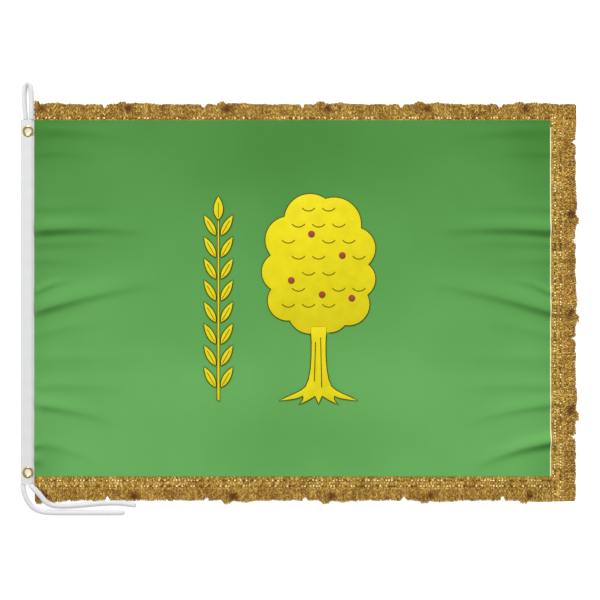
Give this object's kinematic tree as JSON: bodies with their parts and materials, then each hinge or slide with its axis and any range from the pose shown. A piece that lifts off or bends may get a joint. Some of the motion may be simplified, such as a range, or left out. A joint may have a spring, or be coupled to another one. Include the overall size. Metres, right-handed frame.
{
  "type": "fringed ceremonial flag",
  "caption": "Rectangular ceremonial flag laid flat: green satin field with sewn devices, gold bullion fringe on the free sides, white rope heading with brass grommets.",
  "frame": {"origin": "centre of the flag on the surface it lies on, without the free rope", "axes": "+X from the hoist to the fly, +Y up the hoist, +Z out of the face of the cloth"},
  "size_m": [0.9417, 0.7318, 0.0127],
  "materials": {
    "green_satin": "woven polyester satin, mid green",
    "cream_twill": "cream twill hem tape",
    "white_canvas": "white cotton canvas heading tape",
    "white_rope": "white braided polyester rope",
    "brass": "polished brass",
    "gold_braid": "woven metallic gold braid",
    "gold_bullion": "twisted metallic gold bullion threads",
    "yellow_satin": "yellow satin applique",
    "red_satin": "red satin stitch",
    "brown_thread": "dark brown embroidery thread"
  },
  "bodies": {
    "root": {"field_cloth": "green_satin", "fly_hem_tape": "cream_twill", "heading_tape": "white_canvas", "halyard_core_left": "white_rope", "halyard_core_right": "white_rope", "halyard_loop": "white_rope", "halyard_tail_left": "white_rope", "halyard_tail_right": "white_rope", "upper_grommet_eyelet": "brass", "upper_grommet_washer": "brass", "lower_grommet_eyelet": "brass", "lower_grommet_washer": "brass", "fringe_top_header": "gold_braid", "fringe_fly_header": "gold_braid", "fringe_bottom_header": "gold_braid", "fringe_top_skirt": "gold_bullion", "fringe_fly_skirt": "gold_bullion", "fringe_bottom_skirt": "gold_bullion", "sprig_stem": "yellow_satin", "sprig_leaf_tip": "yellow_satin", "tree_crown": "yellow_satin", "tree_trunk": "yellow_satin", "sprig_leaf_left_1": "yellow_satin", "sprig_leaf_right_1": "yellow_satin", "sprig_leaf_left_2": "yellow_satin", "sprig_leaf_right_2": "yellow_satin", "sprig_leaf_left_3": "yellow_satin", "sprig_leaf_right_3": "yellow_satin", "sprig_leaf_left_4": "yellow_satin", "sprig_leaf_right_4": "yellow_satin", "sprig_leaf_left_5": "yellow_satin", "sprig_leaf_right_5": "yellow_satin", "sprig_leaf_left_6": "yellow_satin", "sprig_leaf_right_6": "yellow_satin", "sprig_leaf_left_7": "yellow_satin", "sprig_leaf_right_7": "yellow_satin", "sprig_leaf_left_8": "yellow_satin", "sprig_leaf_right_8": "yellow_satin", "tree_fruit_1": "red_satin", "tree_fruit_2": "red_satin", "tree_fruit_3": "red_satin", "tree_fruit_4": "red_satin", "tree_fruit_5": "red_satin"}
  },
  "joints": []
}
